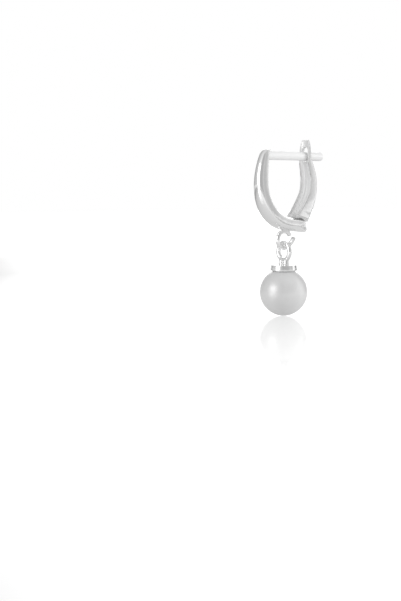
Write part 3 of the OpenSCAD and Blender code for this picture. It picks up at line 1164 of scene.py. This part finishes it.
# %% [markdown]
# ## The pearl's cap and its peg
#
# The cap is a small cup: a top that is just domed, a rim that widens downwards by a hair, a lip that is
# bevelled inwards and an inside that follows the pearl. The peg in its middle is glued into the pearl. Cap
# and peg could be two parts, but one turned outline has them both, as on a lathe.

# %% Turn the cap
CAP_RADIUS = 1.95
CAP_TOP = -15.92
CAP_RISE = 0.12
CAP_LOW = -16.64
LIP_IN, LIP_DOWN = 0.28, 0.185
CAP_EDGE = 0.07
RIM_EDGE = 0.05
RIM_RISE = 0.03
DRAFT = 0.07
PEG_RADIUS = 0.35
PEG_LENGTH = 3
PEG_EDGE = 0.08
PEARL_RADIUS = 3.5
PEARL_MIDDLE = -19.94
SEAT_GAP = 0.03
DROP_LINE = (0, -0.4, 0)


def rise_over(radius, ball):
    """Height of a ball of the pearl's middle above a radius."""
    return PEARL_MIDDLE + math.sqrt(ball ** 2 - radius ** 2)


dome_radius = (CAP_RADIUS ** 2 + CAP_RISE ** 2) / (2 * CAP_RISE)
dome_middle = CAP_TOP + CAP_RISE - dome_radius
peg_end = CAP_LOW - PEG_LENGTH
top = [(r, dome_middle + math.sqrt(dome_radius ** 2 - r ** 2)) for r in (0, 0.4, 0.8, 1.2, 1.5, 1.7, 1.82)]
shoulder = arc(CAP_RADIUS - DRAFT - CAP_EDGE, CAP_TOP - CAP_EDGE, CAP_EDGE, 75, 4, 4)
rim = arc(CAP_RADIUS - RIM_EDGE, CAP_LOW + RIM_RISE, RIM_EDGE, 4, -50, 3)
lip = [(CAP_RADIUS - LIP_IN, CAP_LOW - LIP_DOWN)]
seat = [(r, rise_over(r, PEARL_RADIUS + SEAT_GAP)) for r in (1.62, 1.4, 1.1, 0.8, 0.55, PEG_RADIUS)]
peg = [(PEG_RADIUS, peg_end + PEG_EDGE), (PEG_RADIUS - PEG_EDGE, peg_end), (0, peg_end)]
cap = turn_part("pearl_cup", top + shoulder + rim + lip + seat + peg, Z, at=DROP_LINE, steps=128)
finish_all(cap, [polished], 0)
report(cap)

# %% [markdown]
# ## The eye ring
#
# The eye ring stands across the hoop's ring and is cut at its upper side, where it was opened to link the
# two. It is bent like the ring under the band, but it stays a true circle.

# %% Bend the eye ring
EYE_AT = (0, -0.4, -13.92)
EYE_RADIUS = 1.26
CUT_FROM, CUT_TO = 62, 76
EYE_EDGE = 0.05


def across_way(degrees):
    """The way from the eye ring's middle at an angle from +X over the top."""
    return X * math.cos(math.radians(degrees)) + Z * math.sin(math.radians(degrees))


eye = bend_wire(
    "eye_ring", EYE_AT, EYE_RADIUS, WIRE_RADIUS, -Y, across_way(CUT_TO),
    math.radians(360 - CUT_TO + CUT_FROM), 104,
)
file_edges(eye, EYE_EDGE * MM, angle=60, segments=3)
report(eye)

# %% [markdown]
# ## The foot of the eye ring
#
# Two small beads of solder hold the eye ring on the cap, one on each side of its lowest point, and each
# spreads a little where it meets the cap. Melted balls would be too round, so one bead is turned with its
# own flare and a flat rounded top, and the other is a copy of it.

# %% Shape the foot and solder the cap together
LOBE_RADIUS = 0.42
LOBE_PLACE = 0.5
LOBE_TOP = -15.06
LOBE_ROUND = 0.3
FOOT_DEPTH = 0.05
FOOT_RADIUS = 0.63
FOOT_RIM = 0.1
FLARE = 0.18
FLARE_HIGH = 0.32

foot_low = CAP_TOP - FOOT_DEPTH
lobe_outline = [(0, foot_low), (FOOT_RADIUS, foot_low), (FOOT_RADIUS - 0.01, foot_low + FOOT_RIM)]
lobe_outline += arc(LOBE_RADIUS + FLARE, foot_low + FLARE_HIGH, FLARE, 270, 180, 6)
lobe_outline += arc(LOBE_RADIUS - LOBE_ROUND, LOBE_TOP - LOBE_ROUND, LOBE_ROUND, 0, 90, 8) + [(0, LOBE_TOP)]
foot = turn_part("foot", lobe_outline, Z, at=(LOBE_PLACE, DROP_LINE[1], 0), steps=48)
take(foot)
bpy.ops.object.duplicate()
other_lobe = bpy.context.active_object
work_on(other_lobe)
bpy.ops.mesh.select_all(action="SELECT")
bpy.ops.transform.translate(value=-X * 2 * LOBE_PLACE * MM)
put_down(other_lobe)
solder(foot, other_lobe)
report(foot)
solder(cap, foot, eye)
buff(cap, 40)
report(cap)

# %% [markdown]
# ## The pearl
#
# A round pearl of 7 mm, half drilled for the peg. A sphere from the menu would have no hole, so the pearl is
# turned from an outline that goes up the drilled wall, over its broken edge and round the ball.

# %% Turn the pearl
DRILL_RADIUS = 0.4
GLUE_GAP = 0.1
MOUTH_OUT, MOUTH_DOWN = 0.04, 0.03

drill_end = peg_end - GLUE_GAP
drill_mouth = rise_over(DRILL_RADIUS, PEARL_RADIUS) - MOUTH_DOWN
mouth = math.degrees(math.acos((DRILL_RADIUS + MOUTH_OUT) / PEARL_RADIUS))
pearl_outline = [(0, drill_end), (DRILL_RADIUS, drill_end), (DRILL_RADIUS, drill_mouth)]
pearl_outline += arc(0, PEARL_MIDDLE, PEARL_RADIUS, mouth, -90, 72)
pearl = turn_part("round_pearl", pearl_outline, Z, at=DROP_LINE, steps=144)
finish_all(pearl, [nacre], 0)
buff(pearl, 40)
report(pearl)

# %% [markdown]
# ## Put the pieces on the model
#
# Each piece stands for its node and moves with that node's body: the latch turns on its pin, and the pearl
# swings with its cap from the hoop's ring.

# %% Ride and replace
PIECES = [
    (hoop, "hoop", "hoop_body", "silver"),
    (pin, "hinge_pin", "hoop_body", "silver"),
    (latch, "latch", "latch_body", "silver"),
    (cap, "pearl_cap", "drop_body", "silver"),
    (pearl, "pearl", "drop_body", "pearl"),
]
for piece, node_name, body, slot in PIECES:
    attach(piece, body)
    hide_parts(node_name)
    print(piece.name, "replaces", node_name, "and rides on", body)
